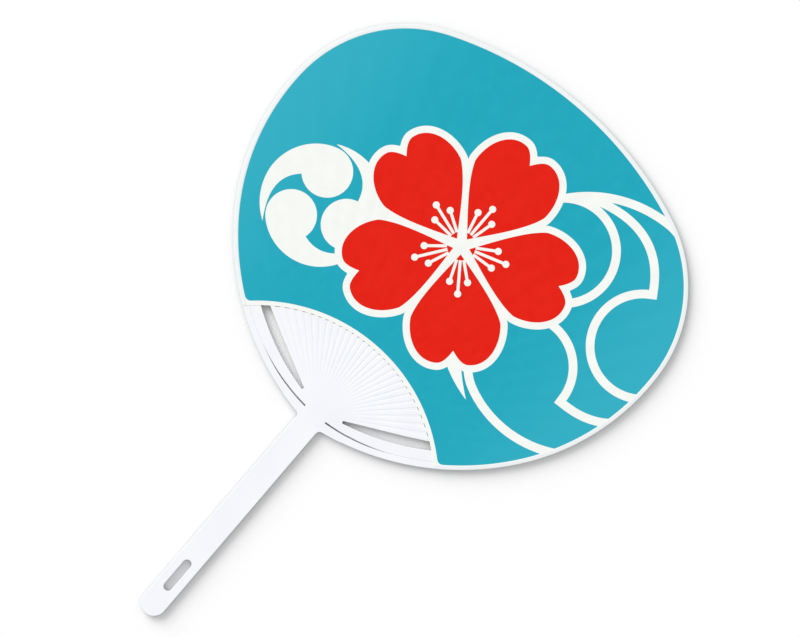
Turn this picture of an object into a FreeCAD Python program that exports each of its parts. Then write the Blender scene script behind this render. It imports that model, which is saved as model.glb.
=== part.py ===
import FreeCAD, Part

import math
import os

from FreeCAD import Vector

# Round hand fan. A moulded white frame (handle, hub, ribs, arms and bows) carries a paper sheet on each
# side of its ribs, and a folded paper strip binds the outer edge of the two sheets.
#
# The origin is the point where the lines of the ribs meet, on the plane that the handle lies on. +Y runs
# up the fan from the handle to the crown, +X to the right, +Z out of the front. Lengths are in
# millimetres and angles in degrees. A bearing is an angle measured from +Y towards +X.

# Blade outline: top, shoulder, flank and bow arcs on each side, each tangent to the next
BLADE_WIDTH = 240.0
SHOULDER_RADIUS = 74.5
BOW_RADIUS = 140.8
TOP_BEARING = 22.3
SHOULDER_BEARING = 86.8
FLANK_BEARING = 126.9

# Handle, with a slot to hang it by
HANDLE_REACH = 132.7
HANDLE_WIDTH = 13.4
HANDLE_THICKNESS = 2.8
HANDLE_EDGE_RADIUS = 0.3
SLOT_LENGTH = 19.4
SLOT_WIDTH = 4.6
SLOT_FROM_TIP = 15.4
SLOT_EDGE_RADIUS = 0.3

# Hub: full thickness round the rib centre, then thinning to just under the ribs. Beyond them a web, thinner
# again, closes the gaps between the ribs and stops short of the sheets.
HUB_FLAT_RADIUS = 5.0
HUB_NOTCH_RADIUS = 14.4
HUB_RADIUS = 19.5
HUB_TO_RIB_STEP = 0.02
WEB_FADE_LENGTH = 13.0
WEB_THICKNESS = 2.0
WEB_TO_SHEET_GAP = 0.22

# Ribs: the outermost ones run from the rib centre to where they land on the arms
RIB_COUNT = 29
RIB_CENTRE_RISE = 2.9
RIB_LANDING_BEARING = 134.5
RIB_HEIGHT = 2.2
RIB_ROOT_WIDTH = 1.0
RIB_WIDE_WIDTH = 2.3
RIB_WIDE_RADIUS = 46.0
RIB_TIP_WIDTH = 1.3
RIB_EDGE_RADIUS = 0.1
RIB_END_GAP = 1.1

# Bows along the outline and arms inside them, parted near the handle by a tapering slit
BOW_WIDTH = 3.4
BOW_FLARE = 1.35
BOW_NECK_RADIUS = 2.2
ARM_WIDTH = 5.6
ARM_PAST_RIB_ANGLE = 4.5
SLIT_WIDTH = 0.85
SLIT_END_BEARING = 154.0
SLIT_MIDDLE_FLARE_SHARE = 0.1
SLIT_MIDDLE_WIDTH_SHARE = 0.72
BOW_EDGE_RADIUS = 0.3

# Paper sheets and the strip that binds their outer edge
SHEET_THICKNESS = 0.15
THROAT_HEIGHT = 44.35
THROAT_RADIUS = 90.05
BINDING_WIDTH = 2.0
BINDING_THICKNESS = 0.1

ORIGIN = Vector(0, 0, 0)
X_AXIS = Vector(1, 0, 0)
Z_AXIS = Vector(0, 0, 1)


def heading(bearing):
    """Unit vector that points along a bearing."""
    angle = math.radians(bearing)
    return Vector(math.sin(angle), math.cos(angle), 0)


def place(centre, radius, bearing):
    """Point at a radius and bearing from a centre."""
    return centre + heading(bearing) * radius


# What follows from the sizes above
FLANK_RADIUS = BLADE_WIDTH / 2
FLANK_TO_BOW = heading(FLANK_BEARING) * (FLANK_RADIUS - BOW_RADIUS)
BOW_DEPTH = math.sqrt(BOW_RADIUS**2 - FLANK_TO_BOW.x**2)
BOW_CENTRE = Vector(FLANK_TO_BOW.x, BOW_DEPTH - BOW_WIDTH - RIB_CENTRE_RISE, 0)
FLANK_CENTRE = BOW_CENTRE - FLANK_TO_BOW
SHOULDER_CENTRE = place(FLANK_CENTRE, FLANK_RADIUS - SHOULDER_RADIUS, SHOULDER_BEARING)
TOP_RADIUS = SHOULDER_RADIUS + SHOULDER_CENTRE.x / math.sin(math.radians(TOP_BEARING))
TOP_CENTRE = place(SHOULDER_CENTRE, SHOULDER_RADIUS - TOP_RADIUS, TOP_BEARING)
BLADE_TOP = TOP_CENTRE.y + TOP_RADIUS
BOW_INNER_RADIUS = BOW_RADIUS - BOW_WIDTH
BAND_WIDTH = BOW_WIDTH + ARM_WIDTH
HALF_HANDLE = HANDLE_WIDTH / 2
TIP_Y = -HANDLE_REACH
MIDDLE_Z = HANDLE_THICKNESS / 2
RIB_BACK = MIDDLE_Z - RIB_HEIGHT / 2
RIB_FRONT = MIDDLE_Z + RIB_HEIGHT / 2
WEB_FRONT = MIDDLE_Z + WEB_THICKNESS / 2
RIB_LANDING = place(BOW_CENTRE, BOW_RADIUS - BAND_WIDTH, RIB_LANDING_BEARING)
LAST_RIB_BEARING = math.degrees(math.atan2(RIB_LANDING.x, RIB_LANDING.y))
HUB_EDGE_BEARING = LAST_RIB_BEARING + math.degrees(math.atan(RIB_ROOT_WIDTH / 2 / HUB_RADIUS))
WEB_FADE_RADIUS = HUB_RADIUS + WEB_FADE_LENGTH
FRONT_SHEET_FRONT = RIB_FRONT + SHEET_THICKNESS
BACK_SHEET_BACK = RIB_BACK - SHEET_THICKNESS


def line(start, end):
    return Part.LineSegment(start, end).toShape()


def arc(centre, radius, start, end):
    """Arc about a centre from one bearing to another."""
    middle = (start + end) / 2
    points = [place(centre, radius, bearing) for bearing in (start, middle, end)]
    return Part.Arc(*points).toShape()


def face(edges):
    return Part.Face(Part.Wire(Part.sortEdges(edges)[0]))


def polygon(points):
    return Part.Face(Part.makePolygon(points + points[:1]))


def disc(centre, radius):
    return Part.Face(Part.Wire(Part.makeCircle(radius, centre)))


def sector(centre, radius, start, end):
    """Pie piece about a centre, between two bearings."""
    first, last = place(centre, radius, start), place(centre, radius, end)
    return face([line(centre, first), arc(centre, radius, start, end), line(last, centre)])


def mirrored(shape):
    """The same shape on the other side of the fan's middle plane."""
    return shape.mirror(ORIGIN, X_AXIS)


def slab(flat, back, front):
    """Flat face drawn at height zero, as a solid between two heights."""
    moved = flat.copy()
    moved.translate(Z_AXIS * back)
    return moved.extrude(Z_AXIS * (front - back))


def rib_slab(flat):
    """Flat face as a solid of the ribs' height."""
    return slab(flat, RIB_BACK, RIB_FRONT)


def handle_slab(flat):
    """Flat face as a solid of the handle's thickness."""
    return slab(flat, 0, HANDLE_THICKNESS)


def joined(solids):
    """Touching or overlapping solids as one, without the seams between them."""
    return solids[0].fuse(solids[1:]).removeSplitter().Solids[0]


def rounded(solid, radius, chosen):
    """Solid with those of its front and back edges rounded that are chosen."""
    heights = (solid.BoundBox.ZMin, solid.BoundBox.ZMax)
    edges = []
    for edge in solid.Edges:
        box = edge.BoundBox
        on_a_face = any(math.isclose(box.ZMin, z) and math.isclose(box.ZMax, z) for z in heights)
        if on_a_face and chosen(edge):
            edges.append(edge)
    return solid.makeFillet(radius, edges).Solids[0]


def longer_than(length):
    """Choice of the edges that run along a piece, and not of those across its ends."""
    return lambda edge: edge.Length > length


def bow_bearing(radius, x):
    """Bearing from the bow's centre to the low point of a circle about it that lies at x."""
    return 180 - math.degrees(math.asin((x - BOW_CENTRE.x) / radius))


def outline(grow=0):
    """Face of the whole blade, with its edge moved out by grow."""
    bow_radius = BOW_RADIUS + grow
    right = [
        arc(TOP_CENTRE, TOP_RADIUS + grow, 0, TOP_BEARING),
        arc(SHOULDER_CENTRE, SHOULDER_RADIUS + grow, TOP_BEARING, SHOULDER_BEARING),
        arc(FLANK_CENTRE, FLANK_RADIUS + grow, SHOULDER_BEARING, FLANK_BEARING),
        arc(BOW_CENTRE, bow_radius, FLANK_BEARING, bow_bearing(bow_radius, 0)),
    ]
    return face(right + [mirrored(edge) for edge in right])


def throat(gap=0):
    """Disc that the lower edge of the sheets goes round, or one that stops short of them by a gap."""
    return disc(Vector(0, THROAT_HEIGHT - THROAT_RADIUS, 0), THROAT_RADIUS - gap)


# The slit between the right bow and the right arm starts at the side of the handle and ends in a point.
# Each of its edges is an arc through three points, given by their depths inside the bow's inner arc.
def slit_edge(neck_depth, middle_depth):
    neck_radius = BOW_INNER_RADIUS - neck_depth
    neck_bearing = bow_bearing(neck_radius, HALF_HANDLE)
    middle_bearing = (neck_bearing + SLIT_END_BEARING) / 2
    neck = place(BOW_CENTRE, neck_radius, neck_bearing)
    middle = place(BOW_CENTRE, BOW_INNER_RADIUS - middle_depth, middle_bearing)
    end = place(BOW_CENTRE, BOW_INNER_RADIUS, SLIT_END_BEARING)
    return neck, Part.Arc(neck, middle, end).toShape()


MIDDLE_FLARE = BOW_FLARE * SLIT_MIDDLE_FLARE_SHARE
MIDDLE_SLIT_WIDTH = SLIT_WIDTH * SLIT_MIDDLE_WIDTH_SHARE
SLIT_BOW_NECK, SLIT_BOW_EDGE = slit_edge(BOW_FLARE, MIDDLE_FLARE)
SLIT_ARM_NECK, SLIT_ARM_EDGE = slit_edge(BOW_FLARE + SLIT_WIDTH, MIDDLE_FLARE + MIDDLE_SLIT_WIDTH)
NECK_TOP = SLIT_ARM_NECK.y


def slit():
    return face([SLIT_BOW_EDGE, SLIT_ARM_EDGE, line(SLIT_BOW_NECK, SLIT_ARM_NECK)])


def slit_and_flare():
    """The slit, and the part of the bow that swells into the arm's band beside the handle."""
    start = bow_bearing(BOW_INNER_RADIUS, HALF_HANDLE)
    bow_edge = arc(BOW_CENTRE, BOW_INNER_RADIUS, start, SLIT_END_BEARING)
    return face([bow_edge, SLIT_ARM_EDGE, line(place(BOW_CENTRE, BOW_INNER_RADIUS, start), SLIT_ARM_NECK)])


# The right bow is rounded into the side of the handle by an arc about this centre. The hub starts there.
NECK_REACH = BOW_RADIUS + BOW_NECK_RADIUS
NECK_CENTRE = place(BOW_CENTRE, NECK_REACH, bow_bearing(NECK_REACH, HALF_HANDLE + BOW_NECK_RADIUS))
HANDLE_TOP = NECK_CENTRE.y


def box(left, right, low, high):
    corners = ((left, low), (right, low), (right, high), (left, high))
    return polygon([Vector(x, y, 0) for x, y in corners])


def neck_fillet():
    """Corner piece that rounds the right bow into the side of the handle."""
    corner = place(BOW_CENTRE, BOW_RADIUS, bow_bearing(BOW_RADIUS, HALF_HANDLE))
    on_bow = BOW_CENTRE + (NECK_CENTRE - BOW_CENTRE).normalize() * BOW_RADIUS
    on_handle = Vector(HALF_HANDLE, HANDLE_TOP, 0)
    return polygon([corner, on_bow, NECK_CENTRE, on_handle]).cut(disc(NECK_CENTRE, BOW_NECK_RADIUS))


BOW_ROOT_BEARING = bow_bearing(BOW_RADIUS, HUB_RADIUS)


def right_bow_flats(start, end):
    """Rim of the blade below its widest place, and its flare, between two bearings from the bow's centre."""
    side = box(HALF_HANDLE, BLADE_WIDTH, TIP_Y, FLANK_CENTRE.y)
    stretch = sector(BOW_CENTRE, BLADE_WIDTH, start, end).common(side)
    rim, flare = outline().cut(outline(-BOW_WIDTH)), slit_and_flare().cut(slit())
    return [flat.common(stretch) for flat in (rim, flare)]


def right_bow():
    """Right bow outside the hub."""
    bow = joined([rib_slab(flat) for flat in right_bow_flats(90, BOW_ROOT_BEARING)])
    return rounded(bow, BOW_EDGE_RADIUS, longer_than(BAND_WIDTH))


def right_arm_flat():
    """Band inside the right bow, from the middle of the hub to the arm's hidden end."""
    band = outline(-BOW_WIDTH).cut(outline(-BAND_WIDTH))
    end_bearing = RIB_LANDING_BEARING - ARM_PAST_RIB_ANGLE
    along = sector(BOW_CENTRE, BOW_RADIUS, end_bearing, bow_bearing(BOW_RADIUS, 0))
    return band.common(along).cut(slit_and_flare())


def right_arm_blank():
    """Right arm before its edges are rounded."""
    return rib_slab(right_arm_flat().cut(disc(ORIGIN, HUB_RADIUS))).Solids[0]


def handle_flat():
    """Straight grip with a round tip, without its slot."""
    tip_centre_y = TIP_Y + HALF_HANDLE
    right_top, left_top = Vector(HALF_HANDLE, HANDLE_TOP, 0), Vector(-HALF_HANDLE, HANDLE_TOP, 0)
    right_low, left_low = Vector(HALF_HANDLE, tip_centre_y, 0), Vector(-HALF_HANDLE, tip_centre_y, 0)
    tip = Part.Arc(right_low, Vector(0, TIP_Y, 0), left_low).toShape()
    return face([line(left_top, right_top), line(right_top, right_low), tip, line(left_low, left_top)])


def hanging_slot():
    """Slot with round ends, near the tip of the handle."""
    radius = SLOT_WIDTH / 2
    low = TIP_Y + SLOT_FROM_TIP
    high = low + SLOT_LENGTH
    corners = [Vector(x, y, 0) for y in (low + radius, high - radius) for x in (-radius, radius)]
    low_left, low_right, high_left, high_right = corners
    low_end = Part.Arc(low_left, Vector(0, low, 0), low_right).toShape()
    high_end = Part.Arc(high_left, Vector(0, high, 0), high_right).toShape()
    return face([low_end, line(low_right, high_right), high_end, line(high_left, low_left)])


def handle():
    not_at_hub = longer_than(HANDLE_WIDTH + HANDLE_EDGE_RADIUS)
    grip = rounded(handle_slab(handle_flat()), HANDLE_EDGE_RADIUS, not_at_hub)
    reach = SLOT_WIDTH / 2 + SLOT_EDGE_RADIUS
    at_slot = lambda edge: -reach < edge.BoundBox.XMin and edge.BoundBox.XMax < reach
    return rounded(grip.cut(handle_slab(hanging_slot())), SLOT_EDGE_RADIUS, at_slot)


def rib_blank(bearing):
    """Rib before its ends are cut, with rounded long edges: it widens through the throat, then tapers."""
    half_root, half_wide, half_tip = RIB_ROOT_WIDTH / 2, RIB_WIDE_WIDTH / 2, RIB_TIP_WIDTH / 2
    right = [(half_root, HUB_RADIUS), (half_wide, RIB_WIDE_RADIUS), (half_tip, BLADE_TOP)]
    left = [(-x, y) for x, y in reversed(right)]
    square = rib_slab(polygon([Vector(x, y, 0) for x, y in right + left]))
    blank = rounded(square, RIB_EDGE_RADIUS, longer_than(RIB_WIDE_WIDTH + RIB_EDGE_RADIUS))
    blank.rotate(ORIGIN, Z_AXIS, -bearing)
    return blank


def rib(blank, inside_bows, arm_blanks):
    """Rib that is cut short of the blade's edge, or where it meets an arm."""
    pieces = blank.common(inside_bows).cut(arm_blanks).Solids
    return min(pieces, key=lambda piece: piece.CenterOfMass.Length)


def hub(rib_blanks):
    """Plate that the handle, bows, arms and ribs grow from, with the web between the ribs."""
    front = [
        (0, HANDLE_THICKNESS),
        (HUB_FLAT_RADIUS, HANDLE_THICKNESS),
        (HUB_RADIUS, RIB_FRONT - HUB_TO_RIB_STEP),
        (WEB_FADE_RADIUS, WEB_FRONT),
        (RIB_LANDING.Length, WEB_FRONT),
    ]
    back = [(radius, HANDLE_THICKNESS - z) for radius, z in reversed(front)]
    turned = polygon([Vector(radius, 0, z) for radius, z in front + back]).revolve(ORIGIN, Z_AXIS, 360)
    notch = sector(ORIGIN, HUB_NOTCH_RADIUS, LAST_RIB_BEARING, 90).common(outline(-BAND_WIDTH))
    arm_root = right_arm_flat().common(disc(ORIGIN, HUB_RADIUS))
    right = right_bow_flats(BOW_ROOT_BEARING, 180) + [neck_fillet(), arm_root, notch]
    neck = box(-HALF_HANDLE, HALF_HANDLE, HANDLE_TOP, NECK_TOP)
    plate = sector(ORIGIN, HUB_RADIUS, -HUB_EDGE_BEARING, HUB_EDGE_BEARING)
    fan_sector = sector(ORIGIN, RIB_LANDING.Length, -LAST_RIB_BEARING, LAST_RIB_BEARING)
    web = fan_sector.common(throat(WEB_TO_SHEET_GAP))
    flats = [neck, plate, web] + right + [mirrored(flat) for flat in right]
    plan = joined([handle_slab(flat) for flat in flats])
    return turned.common(plan).cut(rib_blanks).Solids[0]


def sheet(back, front):
    """Paper over the whole blade, down to the throat."""
    return slab(outline().cut(throat()), back, front).Solids[0]


def edge_binding():
    """Strip folded round the outer edge of both sheets, open at the throat."""
    back, front = BACK_SHEET_BACK - BINDING_THICKNESS, FRONT_SHEET_FRONT + BINDING_THICKNESS
    outside = slab(outline(BINDING_THICKNESS), back, front)
    sheets = slab(outline(), BACK_SHEET_BACK, FRONT_SHEET_FRONT)
    inside = slab(outline(-BINDING_WIDTH), back, front)
    return outside.cut([sheets, inside, slab(throat(), back, front)]).Solids[0]


def fan():
    """Every piece of the fan by name."""
    bow, arm_blank = right_bow(), right_arm_blank()
    arm = rounded(arm_blank, BOW_EDGE_RADIUS, longer_than(BAND_WIDTH))
    arm_blanks = [arm_blank, mirrored(arm_blank)]
    pitch = LAST_RIB_BEARING * 2 / (RIB_COUNT - 1)
    rib_blanks = [rib_blank(pitch * i - LAST_RIB_BEARING) for i in range(RIB_COUNT)]
    pieces = {
        "handle": handle(),
        "hub": hub(rib_blanks),
        "right_bow": bow,
        "left_bow": mirrored(bow),
        "right_arm": arm,
        "left_arm": mirrored(arm),
        "front_sheet": sheet(RIB_FRONT, FRONT_SHEET_FRONT),
        "back_sheet": sheet(BACK_SHEET_BACK, RIB_BACK),
        "edge_binding": edge_binding(),
    }
    inside_bows = rib_slab(outline(-BOW_WIDTH - RIB_END_GAP))
    for i, blank in enumerate(rib_blanks):
        pieces[f"rib_{i + 1:02d}"] = rib(blank, inside_bows, arm_blanks)
    return pieces


os.makedirs("parts", exist_ok=True)
for name, shape in fan().items():
    shape.exportStep(f"parts/{name}.step")
    print(f"{name}: {len(shape.Solids)} solid, {shape.Volume:.1f} mm3, valid {shape.isValid()}")
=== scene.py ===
# %% [markdown]
# # A round hand fan
# The fan is a white moulded frame with a printed paper on each side of its ribs. The frame's pieces come
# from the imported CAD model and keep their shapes. Here they get their finish. The papers and the strip
# round their edge, which CAD holds as plain slabs, are made again with their print, their fold and the
# slight relief of the ribs.

import math

import bmesh
import bpy
import numpy as np
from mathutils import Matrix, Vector
from mathutils.geometry import delaunay_2d_cdt


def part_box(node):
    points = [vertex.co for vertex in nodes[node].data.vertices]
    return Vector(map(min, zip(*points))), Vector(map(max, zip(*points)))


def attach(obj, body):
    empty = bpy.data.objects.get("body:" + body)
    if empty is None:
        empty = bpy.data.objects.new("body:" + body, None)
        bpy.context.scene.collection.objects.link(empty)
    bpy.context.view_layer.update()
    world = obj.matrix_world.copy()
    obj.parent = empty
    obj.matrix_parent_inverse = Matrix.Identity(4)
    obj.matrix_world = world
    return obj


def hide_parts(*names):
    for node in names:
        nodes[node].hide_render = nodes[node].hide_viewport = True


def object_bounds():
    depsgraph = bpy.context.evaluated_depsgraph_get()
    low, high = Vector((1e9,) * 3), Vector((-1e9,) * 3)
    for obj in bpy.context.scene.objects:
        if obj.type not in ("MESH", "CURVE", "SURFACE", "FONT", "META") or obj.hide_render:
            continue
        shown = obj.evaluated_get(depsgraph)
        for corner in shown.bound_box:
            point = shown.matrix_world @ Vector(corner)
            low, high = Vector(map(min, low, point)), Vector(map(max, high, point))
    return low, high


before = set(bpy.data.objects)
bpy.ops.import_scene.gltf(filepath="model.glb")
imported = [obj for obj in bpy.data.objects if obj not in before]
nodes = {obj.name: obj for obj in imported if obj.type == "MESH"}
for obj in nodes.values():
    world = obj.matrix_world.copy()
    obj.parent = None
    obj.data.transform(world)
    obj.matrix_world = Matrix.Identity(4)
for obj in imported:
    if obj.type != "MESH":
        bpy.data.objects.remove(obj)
cad_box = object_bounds()
scene = bpy.context.scene
scene.view_settings.view_transform = "Standard"
MM = 0.001
box_in_mm = [[round(c / MM, 1) for c in corner] for corner in cad_box]
print("pieces of the fan:", len(nodes), "box in mm:", box_in_mm)

# %% [markdown]
# ## Camera
# The picture was taken from straight above, with the fan turned so that its handle points to the lower
# left. A camera far away with a long lens gives that flat look: from 2.5 m, things 3 mm nearer grow by
# only a thousandth. The lens follows from how wide the picture is on the floor, so changing the distance
# keeps the framing.

# %% Camera above the fan
PICTURE_WIDTH = 405.9 * MM
PICTURE_CENTRE = (1.22 * MM, 64.77 * MM)
PICTURE_TURN = math.radians(40.5)
CAMERA_HEIGHT = 2.5

camera_data = bpy.data.cameras.new("camera")
camera_data.sensor_width = 36
camera_data.lens = camera_data.sensor_width * CAMERA_HEIGHT / PICTURE_WIDTH
camera = bpy.data.objects.new("camera", camera_data)
camera.location = (*PICTURE_CENTRE, CAMERA_HEIGHT + cad_box[1].z)
camera.rotation_euler = (0, 0, PICTURE_TURN)
scene.collection.objects.link(camera)
scene.camera = camera
print("lens in mm:", round(camera_data.lens, 1))

# %% [markdown]
# ## Adding nodes
# Shader trees and Geometry Nodes trees are built from the same three things: a kind of node, its
# settings, and what goes into its sockets. One small function covers all of that. A socket gets either a
# plain value or another node's output. Colours are written as sRGB hex values, as a paint program shows
# them, and turned to the linear values that the shaders work with.


# %% Node and colour helpers
def add_node(tree, kind, sockets=None, **settings):
    """Adds a node with its settings, and fills its sockets with values or with other nodes' outputs."""
    node = tree.nodes.new(kind)
    for name, value in settings.items():
        setattr(node, name, value)
    for name, value in (sockets or {}).items():
        if isinstance(value, bpy.types.NodeSocket):
            tree.links.new(value, node.inputs[name])
        else:
            node.inputs[name].default_value = value
    return node


def linear(code):
    """Linear colour of an sRGB hex value."""
    parts = [int(code[i : i + 2], 16) / 255 for i in (1, 3, 5)]
    return (*[p / 12.92 if p <= 0.04045 else ((p + 0.055) / 1.055) ** 2.4 for p in parts], 1)


MIX_FACTOR, MIX_FIRST, MIX_SECOND, MIX_RESULT = 0, 6, 7, 2
print("mid grey is", round(linear("#808080")[0], 3), "in linear light")

# %% [markdown]
# ## Light and floor
# One broad light stands on the fan's left and throws a soft shadow about 4.5 mm to its right, the lower
# right of the picture. A sun lamp with a wide angle does this evenly over the whole fan. The rest is
# light from all round, which alone lights the shadow, to about three fifths. Together they light a level
# surface so that a colour looks as it is written. A thin fan is never quite flat, so it lies a little
# clear of the floor, and its shadow is soft on the lit side too. Camera, mirror and see-through rays find
# a white world and a white floor, so that the ground is white in any view. For scattered light the floor
# is grey, or it would brighten the openings from below.

# %% Light
SHADOW_REACH = Vector((4.44, -0.91))
SHADOW_EDGE_HEIGHT = 3.2
SUN_WIDTH = math.radians(50)
SUN_SHARE = 0.39
SKY_SHARE = 0.62


def seen_directly(tree):
    """Socket that is 1 for rays from the camera, off a mirror or through glass, and 0 for scattered light."""
    ray = add_node(tree, "ShaderNodeLightPath").outputs
    seen = {0: ray["Is Camera Ray"], 1: ray["Is Glossy Ray"]}
    seen = add_node(tree, "ShaderNodeMath", seen, operation="MAXIMUM")
    seen = {0: seen.outputs[0], 1: ray["Is Transmission Ray"]}
    return add_node(tree, "ShaderNodeMath", seen, operation="MAXIMUM").outputs[0]


falling = Vector((SHADOW_REACH.x, SHADOW_REACH.y, -SHADOW_EDGE_HEIGHT)).normalized()
sun_data = bpy.data.lights.new("broad_light", "SUN")
sun_data.angle = SUN_WIDTH
sun_data.energy = SUN_SHARE * math.pi / -falling.z
sun = bpy.data.objects.new("broad_light", sun_data)
sun.rotation_euler = falling.to_track_quat("-Z", "Y").to_euler()
scene.collection.objects.link(sun)

world = bpy.data.worlds.new("white_room")
world.use_nodes = True
scene.world = world
sky = world.node_tree
sky.nodes.clear()
level = {"Value": seen_directly(sky), "To Min": SKY_SHARE, "To Max": 1.0}
level = add_node(sky, "ShaderNodeMapRange", level).outputs[0]
white = add_node(sky, "ShaderNodeBackground", {"Color": (1, 1, 1, 1), "Strength": level})
add_node(sky, "ShaderNodeOutputWorld", {"Surface": white.outputs[0]})
print("sun energy:", round(sun_data.energy, 2))

# %% Floor
FLOOR_SIZE = 6.0
FLOOR_SEEN, FLOOR_SCATTERING = "#FEFEFE", "#A0A0A0"
FLOOR_DROP = 1.5 * MM

floor_paint = bpy.data.materials.new("white_floor")
floor_paint.use_nodes = True
floor_tree = floor_paint.node_tree
floor_shader = floor_tree.nodes["Principled BSDF"].inputs
floor_white = {MIX_FACTOR: seen_directly(floor_tree), MIX_FIRST: linear(FLOOR_SCATTERING),
               MIX_SECOND: linear(FLOOR_SEEN)}
floor_white = add_node(floor_tree, "ShaderNodeMix", floor_white, data_type="RGBA")
floor_tree.links.new(floor_white.outputs[MIX_RESULT], floor_shader["Base Color"])
floor_shader["Roughness"].default_value = 1.0
floor_shader["Specular IOR Level"].default_value = 0.0

half = FLOOR_SIZE / 2
floor_mesh = bpy.data.meshes.new("floor")
floor_corners = ((-half, -half), (half, -half), (half, half), (-half, half))
floor_mesh.from_pydata([(x, y, -FLOOR_DROP) for x, y in floor_corners], [], [(0, 1, 2, 3)])
floor_mesh.materials.append(floor_paint)
floor = bpy.data.objects.new("floor", floor_mesh)
scene.collection.objects.link(floor)
print("floor is", FLOOR_SIZE, "m wide")

# %% [markdown]
# ## Start of a finish
# Every finish here is a Principled shader with two patterns over it: a cloudy drift of colour or gloss,
# and a fine grain that only bends the light. Both are laid out in Object coordinates, in metres, so the
# size of a pattern is one divided by its scale. The two helpers take that size, and each material says
# which real size it stands for.


# %% Patterns that the finishes share
NOISE_LOW, NOISE_HIGH = 0.3, 0.7


def new_finish(name, ior, gloss=0.5):
    """New material: its tree, its shader and the coordinates that its patterns are laid out in."""
    material = bpy.data.materials.new(name)
    material.use_nodes = True
    tree = material.node_tree
    shader = tree.nodes["Principled BSDF"]
    shader.inputs["IOR"].default_value = ior
    shader.inputs["Specular IOR Level"].default_value = gloss
    return material, tree, shader, add_node(tree, "ShaderNodeTexCoord").outputs["Object"]


def drift(tree, place, size, low, high):
    """Cloudy pattern with patches of the given size in metres, as a number from low to high."""
    cloud = add_node(tree, "ShaderNodeTexNoise", {"Vector": place, "Scale": 1 / size, "Detail": 2.0})
    limits = {"From Min": NOISE_LOW, "From Max": NOISE_HIGH, "To Min": low, "To Max": high}
    return add_node(tree, "ShaderNodeMapRange", {"Value": cloud.outputs[0], **limits}).outputs[0]


def grain(tree, place, shader, size, height):
    """Fine bumps of the given size and height in metres, on the shader's normal."""
    relief = add_node(tree, "ShaderNodeTexNoise", {"Vector": place, "Scale": 1 / size, "Detail": 3.0})
    bump = {"Height": relief.outputs[0], "Strength": 1.0, "Distance": height}
    bump = add_node(tree, "ShaderNodeBump", bump)
    tree.links.new(bump.outputs[0], shader.inputs["Normal"])


print("finishes share new_finish, drift and grain")

# %% [markdown]
# ## Polypropylene of the frame
# The frame is one shot of white polypropylene. The mould was given a fine satin grain, so the surface
# shines softly and shows no sharp reflections. Its colour drifts by one or two percent where the plastic
# flowed and cooled at different speeds. The real grain is near 0.1 mm and finer than a pixel, so it is
# drawn 0.8 mm coarse.

# %% Satin polypropylene
PLASTIC_IOR, PLASTIC_ROUGHNESS = 1.49, (0.36, 0.46)
FLOW_PATCH, SHINE_PATCH = 28 * MM, 9 * MM
PLASTIC_GRAIN, PLASTIC_GRAIN_HEIGHT = 0.8 * MM, 0.004 * MM

plastic, tree, shader, place = new_finish("satin_polypropylene", PLASTIC_IOR)
cloud = drift(tree, place, FLOW_PATCH, 0, 1)
tint = {MIX_FACTOR: cloud, MIX_FIRST: linear("#F1F3F8"), MIX_SECOND: linear("#F5F7FB")}
tint = add_node(tree, "ShaderNodeMix", tint, data_type="RGBA")
tree.links.new(tint.outputs[MIX_RESULT], shader.inputs["Base Color"])
tree.links.new(drift(tree, place, SHINE_PATCH, *PLASTIC_ROUGHNESS), shader.inputs["Roughness"])
grain(tree, place, shader, PLASTIC_GRAIN, PLASTIC_GRAIN_HEIGHT)

paper_nodes = ("front_sheet", "back_sheet", "edge_binding")
for name, node in nodes.items():
    if name not in paper_nodes:
        node.data.materials.clear()
        node.data.materials.append(plastic)
print(plastic.name, "on", len(nodes) - len(paper_nodes), "pieces")

# %% [markdown]
# ## Paper and inks
# The papers are a coated stock with a matt varnish. Where no ink lies, the stock's own white shows. The
# ink is a thin even film, so it takes on the paper's slight tooth. It covers a little unevenly in patches
# of a few millimetres. Towards the sides of the blade the blue green is blended along X into a paler one:
# that is a painted sheen, standing in for the glare the sides catch. The tooth of such paper is about
# 0.05 mm and can't be seen here, so it is drawn as soft bumps of 1.2 mm.

# %% Finishes of the papers
# Painted sheen: the blue green turns paler between these two distances either side of the middle.
PAINTED_SHEEN_FROM, PAINTED_SHEEN_TO = 45 * MM, 120 * MM
PAPER_IOR, PAPER_GLOSS, PAPER_ROUGHNESS = 1.5, 0.15, (0.5, 0.6)
INK_PATCH, VARNISH_PATCH = 5 * MM, 14 * MM
PAPER_GRAIN, PAPER_GRAIN_HEIGHT = 1.2 * MM, 0.003 * MM


def printed(name, thin, full):
    """Paper with a film of ink, or bare, whose colour drifts from thin to full in small patches."""
    material, tree, shader, place = new_finish(name, PAPER_IOR, PAPER_GLOSS)
    cloud = drift(tree, place, INK_PATCH, 0, 1)
    tint = {MIX_FACTOR: cloud, MIX_FIRST: linear(thin), MIX_SECOND: linear(full)}
    tint = add_node(tree, "ShaderNodeMix", tint, data_type="RGBA")
    tree.links.new(tint.outputs[MIX_RESULT], shader.inputs["Base Color"])
    tree.links.new(drift(tree, place, VARNISH_PATCH, *PAPER_ROUGHNESS), shader.inputs["Roughness"])
    grain(tree, place, shader, PAPER_GRAIN, PAPER_GRAIN_HEIGHT)
    return material, tree, shader, place, tint


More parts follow.
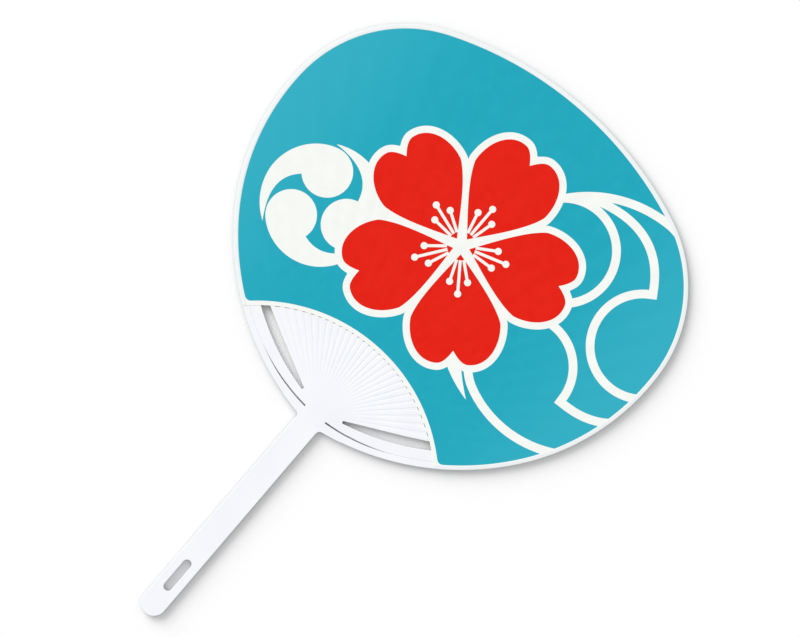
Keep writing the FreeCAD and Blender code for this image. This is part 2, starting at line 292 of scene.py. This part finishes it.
bare_paper = printed("coated_white_paper", "#F4F6F1", "#F7F9F4")[0]
strip_paper = printed("white_strip_paper", "#EDF1F2", "#F0F4F4")[0]
red_ink = printed("red_ink_on_paper", "#E51B04", "#E21600")[0]
teal_ink, tree, shader, place, tint = printed("blue_green_ink_with_painted_sheen", "#1CA8BD", "#17A5BB")
# Painted sheen: a paler blue green is blended in with distance from the middle along X, as glare on the
# sides.
across = add_node(tree, "ShaderNodeSeparateXYZ", {"Vector": place}).outputs["X"]
across = add_node(tree, "ShaderNodeMath", {0: across}, operation="ABSOLUTE").outputs[0]
sheen_share = {"Value": across, "From Min": PAINTED_SHEEN_FROM, "From Max": PAINTED_SHEEN_TO}
sheen_share = add_node(tree, "ShaderNodeMapRange", sheen_share, interpolation_type="SMOOTHSTEP").outputs[0]
painted_sheen = {MIX_FACTOR: sheen_share, MIX_FIRST: tint.outputs[MIX_RESULT], MIX_SECOND: linear("#30AEC3")}
painted_sheen = add_node(tree, "ShaderNodeMix", painted_sheen, data_type="RGBA")
tree.links.new(painted_sheen.outputs[MIX_RESULT], shader.inputs["Base Color"])
inks = [bare_paper, teal_ink, red_ink]
BARE, TEAL, RED = range(len(inks))
print("finishes of the papers:", [ink.name for ink in inks])

# %% [markdown]
# ## Outline of the papers
# The blade is drawn with four arcs on each side, each tangent to the next: crown, shoulder, flank and
# bow. At the throat another circle cuts the papers off. The same sizes give the CAD model its outline, so
# a paper that is drawn from them lies on the frame with no fitting. From here on the drawing is in
# millimetres, and a bearing is an angle from +Y towards +X. Each arc becomes a row of points, 0.7 mm
# apart, which the picture shows as a smooth line.

# %% Arcs of the blade
LINE_STEP, FEWEST_ON_ARC = 0.7, 3
BLADE_RADIUS, SHOULDER_RADIUS, BOW_RADIUS = 120.0, 74.5, 140.8
TOP_BEARING, SHOULDER_BEARING, FLANK_BEARING = 22.3, 86.8, 126.9
BOW_FOOT = 6.3
THROAT_HEIGHT, THROAT_RADIUS = 44.35, 90.05


def heading(bearing):
    """Unit vector, or a row of them, along a bearing in degrees."""
    return np.array([np.sin(np.radians(bearing)), np.cos(np.radians(bearing))]).T


def arc(centre, radius, start, end):
    """Points along an arc between two bearings."""
    count = max(FEWEST_ON_ARC, round(abs(math.radians(end - start)) * radius / LINE_STEP))
    return centre + radius * heading(np.linspace(start, end, count))


flank_to_bow = heading(FLANK_BEARING) * (BLADE_RADIUS - BOW_RADIUS)
BOW_CENTRE = np.array([flank_to_bow[0], math.sqrt(BOW_RADIUS**2 - flank_to_bow[0] ** 2) - BOW_FOOT])
FLANK_CENTRE = BOW_CENTRE - flank_to_bow
SHOULDER_CENTRE = FLANK_CENTRE + heading(SHOULDER_BEARING) * (BLADE_RADIUS - SHOULDER_RADIUS)
TOP_RADIUS = SHOULDER_RADIUS + SHOULDER_CENTRE[0] / math.sin(math.radians(TOP_BEARING))
TOP_CENTRE = SHOULDER_CENTRE + heading(TOP_BEARING) * (SHOULDER_RADIUS - TOP_RADIUS)
THROAT_CENTRE = np.array([0, THROAT_HEIGHT - THROAT_RADIUS])
print("crown at", round(TOP_CENTRE[1] + TOP_RADIUS, 2), "mm")


# %% Edge of the papers
def side_edge(grow, throat_radius):
    """Right edge of the blade, moved out by grow, from the crown to where the throat's circle cuts it."""
    bow_radius = BOW_RADIUS + grow
    across = THROAT_CENTRE - BOW_CENTRE
    apart = np.linalg.norm(across)
    across = across / apart
    along = (bow_radius**2 - throat_radius**2 + apart**2) / (2 * apart)
    corner = along * across + math.sqrt(bow_radius**2 - along**2) * np.array([-across[1], across[0]])
    corner_bearing = math.degrees(math.atan2(*corner))
    runs = [
        arc(TOP_CENTRE, TOP_RADIUS + grow, 0, TOP_BEARING),
        arc(SHOULDER_CENTRE, SHOULDER_RADIUS + grow, TOP_BEARING, SHOULDER_BEARING)[1:],
        arc(FLANK_CENTRE, BLADE_RADIUS + grow, SHOULDER_BEARING, FLANK_BEARING)[1:],
        arc(BOW_CENTRE, bow_radius, FLANK_BEARING, corner_bearing)[1:],
    ]
    return np.concatenate(runs)


def paper_edge(grow, throat_margin):
    """Closed edge of the papers, moved out by grow, with a margin at the throat. It runs anticlockwise."""
    throat_radius = THROAT_RADIUS + throat_margin
    right = side_edge(grow, throat_radius)
    left = right * (-1, 1)
    corner_bearing = math.degrees(math.atan2(*(right[-1] - THROAT_CENTRE)))
    throat = arc(THROAT_CENTRE, throat_radius, -corner_bearing, corner_bearing)[1:-1]
    return np.concatenate([left, throat, right[:0:-1]])


print("points round a paper:", len(paper_edge(0, 0)))

# %% [markdown]
# ## Shapes of the print
# The print has two inks on white paper. Its shapes are a blue green ground that leaves a narrow white
# margin, two rings of three drops, an old and common ornament, and a large blossom. All of them are
# closed lines of points. Bezier curves draw the petals and the tails of the drops. A line can be moved
# sideways, which gives the white border round the petals and the hollow drops of the large ring. Where a
# moved line folds over itself, points come closer to the first line than they should, and dropping those
# leaves a clean shape.


# %% Curves for the print
CURVE_POINTS, FEWEST_POINTS = 40, 12
CLEAR_SHARE = 0.97
CORNER_SIDE, CORNER_CLEARED = 3, 2


def bezier(*handles):
    """Points along a Bezier curve with any number of handles."""
    t = np.linspace(0, 1, CURVE_POINTS)[:, None, None]
    points = np.array([handles] * len(t), float)
    while points.shape[1] > 1:
        points = points[:, :-1] * (1 - t) + points[:, 1:] * t
    return points[:, 0]


def evenly(points):
    """The same closed line with its points one line step apart."""
    closed = np.concatenate([points, points[:1]])
    reach = np.concatenate([[0], np.cumsum(np.linalg.norm(np.diff(closed, axis=0), axis=1))])
    marks = np.linspace(0, reach[-1], max(FEWEST_POINTS, round(reach[-1] / LINE_STEP)), endpoint=False)
    return np.column_stack([np.interp(marks, reach, closed[:, axis]) for axis in (0, 1)])


def inside_line(points, distance, corner=None):
    """Closed anticlockwise line moved inwards, or outwards if negative. One corner can be kept sharp."""
    run = np.roll(points, -1, axis=0) - np.roll(points, 1, axis=0)
    inward = np.column_stack([-run[:, 1], run[:, 0]]) / np.linalg.norm(run, axis=1)[:, None]
    moved = points + inward * distance
    nearest = np.linalg.norm(moved[:, None] - points[None], axis=2).min(axis=1)
    kept = nearest > abs(distance) * CLEAR_SHARE
    if corner is not None:
        at = np.linalg.norm(points - corner, axis=1).argmin()
        one, other = inward[at - CORNER_SIDE], inward[(at + CORNER_SIDE) % len(points)]
        moved[at] = corner + (one + other) * distance / (1 + one @ other)
        kept[np.arange(at - CORNER_CLEARED, at + CORNER_CLEARED + 1) % len(points)] = False
        kept[at] = True
    return moved[kept]


def turned(points, degrees, scale, centre):
    """Points turned anticlockwise, scaled and moved to a centre."""
    c, s = math.cos(math.radians(degrees)), math.sin(math.radians(degrees))
    return points @ np.array([[c, s], [-s, c]]) * scale + centre


print("a curve has", len(bezier((0, 0), (1, 0), (1, 1))), "points")

# %% [markdown]
# ## Drop rings
# Each drop has a round head and a tail that runs out along the ring. In a ring of radius 1, with the head
# on the +X axis, three lines draw it: the outer edge, which leaves the head and meets the ring, the inner
# edge of the tail, and the rest of the head's circle.

# %% One drop and its rings
HEAD_REACH_SHARE, HEAD_RADIUS_SHARE = 0.515, 0.41
HEAD_LEAVES, RING_MET, TAIL_TIP = -6.5, 65.1, 116.0
HEAD_LEAVES_SHARE = 0.9175
NOTCH_SHARES = (0.417, 0.393)
TAIL_HANDLE_SHARES = (0.318, 0.91)
HEAD_FROM, HEAD_TO = 104.0, 345.3
OUTER_POINTS, HEAD_POINTS = 120, 90


def drop_line(tip_share):
    """One drop in a ring of radius 1, its head to the right and its tail's tip at a share of that radius."""
    angles = np.linspace(HEAD_LEAVES, TAIL_TIP, OUTER_POINTS)
    still_out = np.clip((RING_MET - angles) / (RING_MET - HEAD_LEAVES), 0, 1)
    shares = np.interp(angles, (RING_MET, TAIL_TIP), (1, tip_share)) - (1 - HEAD_LEAVES_SHARE) * still_out**2
    outer = heading(90 - angles) * shares[:, None]
    inner = bezier(outer[-1], TAIL_HANDLE_SHARES, NOTCH_SHARES)
    round_head = heading(90 - np.linspace(HEAD_FROM, HEAD_TO, HEAD_POINTS))
    head = (HEAD_REACH_SHARE, 0) + HEAD_RADIUS_SHARE * round_head
    return np.concatenate([outer, inner[1:], head[:-1]])


def drop_ring(centre, radius, first_head, tip_shares):
    """The three drops of a ring, as closed lines, and the notches between head and tail."""
    places = [(first_head + turn, radius, centre) for turn in (0, 120, 240)]
    drops = [evenly(turned(drop_line(share), *place)) for share, place in zip(tip_shares, places)]
    return drops, [turned(np.array(NOTCH_SHARES), *place) for place in places]


small_ring, _ = drop_ring(
    centre=(-66.8, 83.2), radius=32.0, first_head=120.5, tip_shares=(0.975, 0.975, 0.975))
large_ring, large_notches = drop_ring(
    centre=(70.0, 121.5), radius=70.5, first_head=20.0, tip_shares=(0.92, 0.97, 0.95))
LARGE_RING_LINE = 4.4
print("points round a large drop:", len(large_ring[0]))

# %% [markdown]
# ## Blossom
# The blossom in the middle has five petals with a nick at the tip, as a cherry has. Half a petal is drawn
# with three curves, mirrored, and turned five times. Its eye and the thin stamens, with a dot at the end,
# are left white.

# %% Blossom
BLOSSOM_CENTRE = (1.0, 113.0)
BLOSSOM_RADIUS = 61.0
BLOSSOM_BORDER = 3.6
BLOSSOM_EYE = 3.0
STAMEN_WIDTH, STAMEN_DOT = 1.5, 1.8
STAMENS = ((-14, 0.31), (0, 0.4), (14, 0.31))
STAMEN_ROOT_SHARE = 0.12
PETAL_COUNT, FIRST_PETAL = 5, 90
DOT_STEP = 15

half_petal = np.concatenate([
    bezier((0.07, 0), (0.2, 0.1), (0.44, 0.315), (0.62, 0.375)),
    bezier((0.62, 0.375), (0.8, 0.395), (0.99, 0.3), (0.985, 0.13))[1:],
    bezier((0.985, 0.13), (0.983, 0.075), (0.92, 0.03), (0.875, 0))[1:],
])
petal = np.concatenate([half_petal * (1, -1), half_petal[-2:0:-1]])
circle = heading(90 - np.arange(0, 360, DOT_STEP))
eye = turned(circle, 0, BLOSSOM_EYE, BLOSSOM_CENTRE)
petals, stamens = [], []
for turn in range(FIRST_PETAL, FIRST_PETAL + 360, 360 // PETAL_COUNT):
    petals.append(evenly(turned(petal, turn, BLOSSOM_RADIUS, BLOSSOM_CENTRE)))
    for lean, reach in STAMENS:
        low, high, wide = STAMEN_ROOT_SHARE * BLOSSOM_RADIUS, reach * BLOSSOM_RADIUS, STAMEN_WIDTH / 2
        stalk = np.array([(low, -wide), (high, -wide), (high, wide), (low, wide)])
        dot = circle * STAMEN_DOT + (high, 0)
        stamens += [turned(line, turn + lean, 1, BLOSSOM_CENTRE) for line in (stalk, dot)]
print(len(petals), "petals and", len(stamens) // 2, "stamens")

# %% [markdown]
# ## One flat drawing
# The shapes are laid over each other as a printer lays inks, and a constrained Delaunay triangulation
# joins all their lines into one flat mesh. It remembers which shapes each triangle lies in, so the last
# shape laid down gives the triangle its ink, unless it lies outside the ground, where the paper stays
# bare. Every ink border is a real edge. A texture could show the same print, but its borders would be
# only as sharp as its pixels. Rows of loose points along the ribs go in as well, to carry the relief.

# %% Layers of the print
RIM_MARGIN, THROAT_MARGIN, GROUND_CORNER = 2.3, 2.25, 2.2
PAPER_TUCK = 0.3
CORNER_STRIDE = 6


def round_corner(points, corner, cut):
    """Closed line with a corner replaced by a short curve."""
    near = np.flatnonzero(np.linalg.norm(points - corner, axis=1) < cut)
    curve = bezier(points[near[0] - 1], corner, points[near[-1] + 1])[1:-1:CORNER_STRIDE]
    return np.concatenate([points[: near[0]], curve, points[near[-1] + 1 :]])


ground = paper_edge(-RIM_MARGIN, THROAT_MARGIN)
ground_corner = side_edge(-RIM_MARGIN, THROAT_RADIUS + THROAT_MARGIN)[-1]
for side in (-1, 1):
    ground = round_corner(ground, ground_corner * (side, 1), GROUND_CORNER)

layers = [(BARE, paper_edge(-PAPER_TUCK, 0)), (TEAL, ground)]
PAPER_LAYER, GROUND_LAYER = range(len(layers))
layers += [(BARE, line) for line in small_ring + large_ring]
for line, notch in zip(large_ring, large_notches):
    layers.append((TEAL, inside_line(line, LARGE_RING_LINE, notch)))
layers += [(BARE, inside_line(line, -BLOSSOM_BORDER)) for line in petals]
layers += [(RED, line) for line in petals]
layers += [(BARE, line) for line in [eye] + stamens]
print(len(layers), "shapes laid over each other")

# %% Ribs under the papers
RIB_COUNT, LAST_RIB = 29, 62.0
RIB_WIDE, RIB_WIDE_AT, RIB_TIP, RIB_TIP_AT = 2.3, 46.0, 1.3, 207.0
SAG_SHARE = 0.012
FLAT_RIM, FADE_RIM = 4.5, 12.0
RIM_STRIDE = 3
ROW_FROM, ROW_TO, ROW_STEP = 48, 206, 5.0
GAP_SHARES = (0.5, 1, 1.5)
rib_pitch = 2 * LAST_RIB / (RIB_COUNT - 1)


def gap_between_ribs(radius):
    """Half a rib's width, and half the gap between two ribs, at a radius."""
    half_rib = np.interp(radius, (RIB_WIDE_AT, RIB_TIP_AT), (RIB_WIDE / 2, RIB_TIP / 2))
    return half_rib, np.radians(rib_pitch) * radius / 2 - half_rib


def sag(points):
    """How far the paper dips between the ribs at each point."""
    radius, bearing = np.hypot(*points.T), np.degrees(np.arctan2(*points.T))
    half_rib, half_gap = gap_between_ribs(radius)
    from_rib = np.abs((bearing + LAST_RIB + rib_pitch / 2) % rib_pitch - rib_pitch / 2)
    share = np.clip((np.radians(from_rib) * radius - half_rib) / half_gap, 0, 1)
    rim = paper_edge(0, 0)[::RIM_STRIDE]
    to_rim = np.array([np.linalg.norm(rim - point, axis=1).min() for point in points])
    held = np.clip((to_rim - FLAT_RIM) / (FADE_RIM - FLAT_RIM), 0, 1) * (np.abs(bearing) < LAST_RIB)
    return SAG_SHARE * 2 * half_gap * np.sin(share * np.pi / 2) ** 2 * held


rows = []
for radius in np.arange(ROW_FROM, ROW_TO, ROW_STEP):
    half_rib, half_gap = gap_between_ribs(radius)
    across = [-half_rib, half_rib] + [half_rib + half_gap * share for share in GAP_SHARES]
    for bearing in np.linspace(-LAST_RIB, LAST_RIB, RIB_COUNT):
        rows += [radius * heading(bearing + math.degrees(step / radius)) for step in across]
print(len(rows), "points along the ribs")

# %% Join the drawing into a flat mesh
TRIANGLES_INSIDE, MERGE_DISTANCE = 1, 1e-4

points, shapes = [], []
for _, line in layers:
    shapes.append(range(len(points), len(points) + len(line)))
    points += [Vector(point) for point in line]
points += [Vector(point) for point in rows]
shapes = [list(shape) for shape in shapes]
joined = delaunay_2d_cdt(points, [], shapes, TRIANGLES_INSIDE, MERGE_DISTANCE)
flat, _, faces, _, _, sources = joined
flat = np.array([tuple(point) for point in flat])
kept = [i for i, inside in enumerate(sources) if PAPER_LAYER in inside]
faces = np.array([list(faces[i]) for i in kept])
face_inks = np.array([layers[max(sources[i])][0] if GROUND_LAYER in sources[i] else BARE for i in kept])
used, faces = np.unique(faces, return_inverse=True)
flat, faces = flat[used], faces.reshape(-1, 3)

# %% [markdown]
# ## Front and back paper
# Each paper is 0.15 mm thick and lies on the ribs. Glued and drawn tight, it still dips by up to 0.16 mm
# between them, which gives the faint rays that the light shows. The flat drawing is used for the printed
# side and, turned over, for the inner side, and a wall joins the two along the edge. The back paper is
# the front one seen in a mirror, so that its print reads the same way when the fan is turned over.


# %% Papers
PAPER_SHARP = math.radians(30)


def make_paper(name, side):
    """Paper as a thin closed sheet on the node of that name. Side is 1 for the front and -1 for the back."""
    low, high = (corner.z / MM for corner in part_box(name))
    outer, inner = (high, low) if side > 0 else (low, high)
    dip = side * sag(flat)
    across = flat * (side, 1)
    skins = [np.column_stack([across, z - dip]) for z in (outer, inner)]
    count = len(flat)
    runs = np.concatenate([faces[:, [0, 1]], faces[:, [1, 2]], faces[:, [2, 0]]])
    paired = {tuple(run) for run in runs.tolist()}
    rim = [(a, b) for a, b in paired if (b, a) not in paired]
    wall = [(b, a, a + count, b + count) for a, b in sorted(rim)]
    mesh = bpy.data.meshes.new(name + "_paper")
    all_faces = faces.tolist() + (faces[:, ::-1] + count).tolist() + wall
    mesh.from_pydata(np.concatenate(skins) * MM, [], all_faces)
    for ink in inks:
        mesh.materials.append(ink)
    mesh.polygons.foreach_set("material_index", face_inks.tolist() + [BARE] * (len(faces) + len(wall)))
    mesh.shade_smooth()
    mesh.set_sharp_from_angle(angle=PAPER_SHARP)
    paper = bpy.data.objects.new(name + "_paper", mesh)
    scene.collection.objects.link(paper)
    return paper


for name, side in (("front_sheet", 1), ("back_sheet", -1)):
    paper = make_paper(name, side)
    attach(paper, "root")
    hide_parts(name)
    print(paper.name, len(paper.data.polygons), "faces")

# %% [markdown]
# ## Strip round the edge
# A narrow strip of white paper is folded over the edge of both papers. It follows a path, so Geometry
# Nodes sweep it: four points draw its section, a fillet softens the two folds, and Curve to Mesh carries
# the section along the edge of the blade. Its sizes are inputs of the tree. A Solidify modifier then
# gives the paper its thickness.

# %% Tree that sweeps the strip
FOLD_POINTS = 5
sweep = bpy.data.node_groups.new("folded_strip", "GeometryNodeTree")
sweep.interface.new_socket("Path", in_out="INPUT", socket_type="NodeSocketGeometry")
inputs = {}
kinds = dict.fromkeys(("Width", "Half height", "Stand off", "Fold radius"), "NodeSocketFloat")
for label, kind in (*kinds.items(), ("Finish", "NodeSocketMaterial")):
    inputs[label] = sweep.interface.new_socket(label, in_out="INPUT", socket_type=kind).identifier
sweep.interface.new_socket("Strip", in_out="OUTPUT", socket_type="NodeSocketGeometry")
given = add_node(sweep, "NodeGroupInput").outputs
inside = add_node(sweep, "ShaderNodeMath", {0: 0.0, 1: given["Width"]}, operation="SUBTRACT").outputs[0]
below = add_node(sweep, "ShaderNodeMath", {0: 0.0, 1: given["Half height"]}, operation="SUBTRACT").outputs[0]
ends = {}
for number, (x, y) in enumerate(((inside, given["Half height"]), (given["Stand off"], given["Half height"]),
                                 (given["Stand off"], below), (inside, below)), 1):
    ends[f"Point {number}"] = add_node(sweep, "ShaderNodeCombineXYZ", {"X": x, "Y": y}).outputs[0]
section = add_node(sweep, "GeometryNodeCurvePrimitiveQuadrilateral", ends, mode="POINTS").outputs[0]
section = add_node(sweep, "GeometryNodeSetSplineCyclic", {"Geometry": section, "Cyclic": False}).outputs[0]
folds = {"Curve": section, "Radius": given["Fold radius"], "Count": FOLD_POINTS}
section = add_node(sweep, "GeometryNodeFilletCurve", folds, mode="POLY").outputs[0]
path = add_node(sweep, "GeometryNodeMeshToCurve", {"Mesh": given["Path"]}).outputs[0]
path = add_node(sweep, "GeometryNodeSetCurveNormal", {"Curve": path}, mode="Z_UP").outputs[0]
strip = add_node(sweep, "GeometryNodeCurveToMesh", {"Curve": path, "Profile Curve": section}).outputs[0]
strip = add_node(sweep, "GeometryNodeRealizeInstances", {"Geometry": strip}).outputs[0]
finished = {"Geometry": strip, "Material": given["Finish"]}
strip = add_node(sweep, "GeometryNodeSetMaterial", finished).outputs[0]
add_node(sweep, "NodeGroupOutput", {"Strip": strip})
print("strip tree has", len(sweep.nodes), "nodes")

# %% Strip
STRIP_WIDTH, STRIP_THICKNESS, FOLD_RADIUS, STRIP_OVERRUN = 2.0, 0.1, 0.35, 1.5


def final_mesh(piece):
    """New mesh of an object with its modifiers applied."""
    evaluated = piece.evaluated_get(bpy.context.evaluated_depsgraph_get())
    return bpy.data.meshes.new_from_object(evaluated)


low, high = (corner.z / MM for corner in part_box("edge_binding"))
right = side_edge(0, THROAT_RADIUS)
onward = right[-1] + (right[-1] - right[-2]) / np.linalg.norm(right[-1] - right[-2]) * STRIP_OVERRUN
right = np.concatenate([right, [onward]])
route = np.concatenate([right[::-1], right[1:] * (-1, 1)])
route = np.column_stack([route, np.full(len(route), (low + high) / 2)]) * MM

path_mesh = bpy.data.meshes.new("strip_path")
path_mesh.from_pydata(route, [(i, i + 1) for i in range(len(route) - 1)], [])
path_object = bpy.data.objects.new("strip_path", path_mesh)
scene.collection.objects.link(path_object)
modifier = path_object.modifiers.new("sweep", "NODES")
modifier.node_group = sweep
half_height = (high - low - STRIP_THICKNESS) / 2
for label, value in (("Width", STRIP_WIDTH), ("Half height", half_height), ("Stand off", STRIP_THICKNESS / 2),
                     ("Fold radius", FOLD_RADIUS)):
    modifier[inputs[label]] = value * MM
modifier[inputs["Finish"]] = strip_paper
strip_mesh = final_mesh(path_object)
bpy.data.objects.remove(path_object)
print("strip swept with", len(strip_mesh.polygons), "faces")

# %% Cut the strip's ends along the throat and give it its thickness
CUT_REACH, STRIP_SHARP = 10 * MM, math.radians(40)

work = bmesh.new()
work.from_mesh(strip_mesh)
corner = side_edge(0, THROAT_RADIUS)[-1]
outward = (corner - THROAT_CENTRE) / THROAT_RADIUS
for side in (-1, 1):
    at = Vector((side * corner[0] * MM, corner[1] * MM, 0))
    facing = Vector((side * outward[0], outward[1], 0))
    near = [face for face in work.faces if (face.calc_center_median() - at).length < CUT_REACH]
    parts = set(near) | {e for f in near for e in f.edges} | {v for f in near for v in f.verts}
    bmesh.ops.bisect_plane(work, geom=list(parts), plane_co=at, plane_no=facing, clear_inner=True)
bmesh.ops.recalc_face_normals(work, faces=work.faces)
work.to_mesh(strip_mesh)
work.free()
strip_mesh.name = "edge_strip"
edge_strip = bpy.data.objects.new("edge_strip", strip_mesh)
scene.collection.objects.link(edge_strip)
thick = edge_strip.modifiers.new("thickness", "SOLIDIFY")
thick.thickness, thick.offset = STRIP_THICKNESS * MM, 0
edge_strip.data = final_mesh(edge_strip)
edge_strip.modifiers.clear()
edge_strip.data.shade_smooth()
edge_strip.data.set_sharp_from_angle(angle=STRIP_SHARP)
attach(edge_strip, "root")
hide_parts("edge_binding")
print("edge_strip", len(edge_strip.data.polygons), "faces")
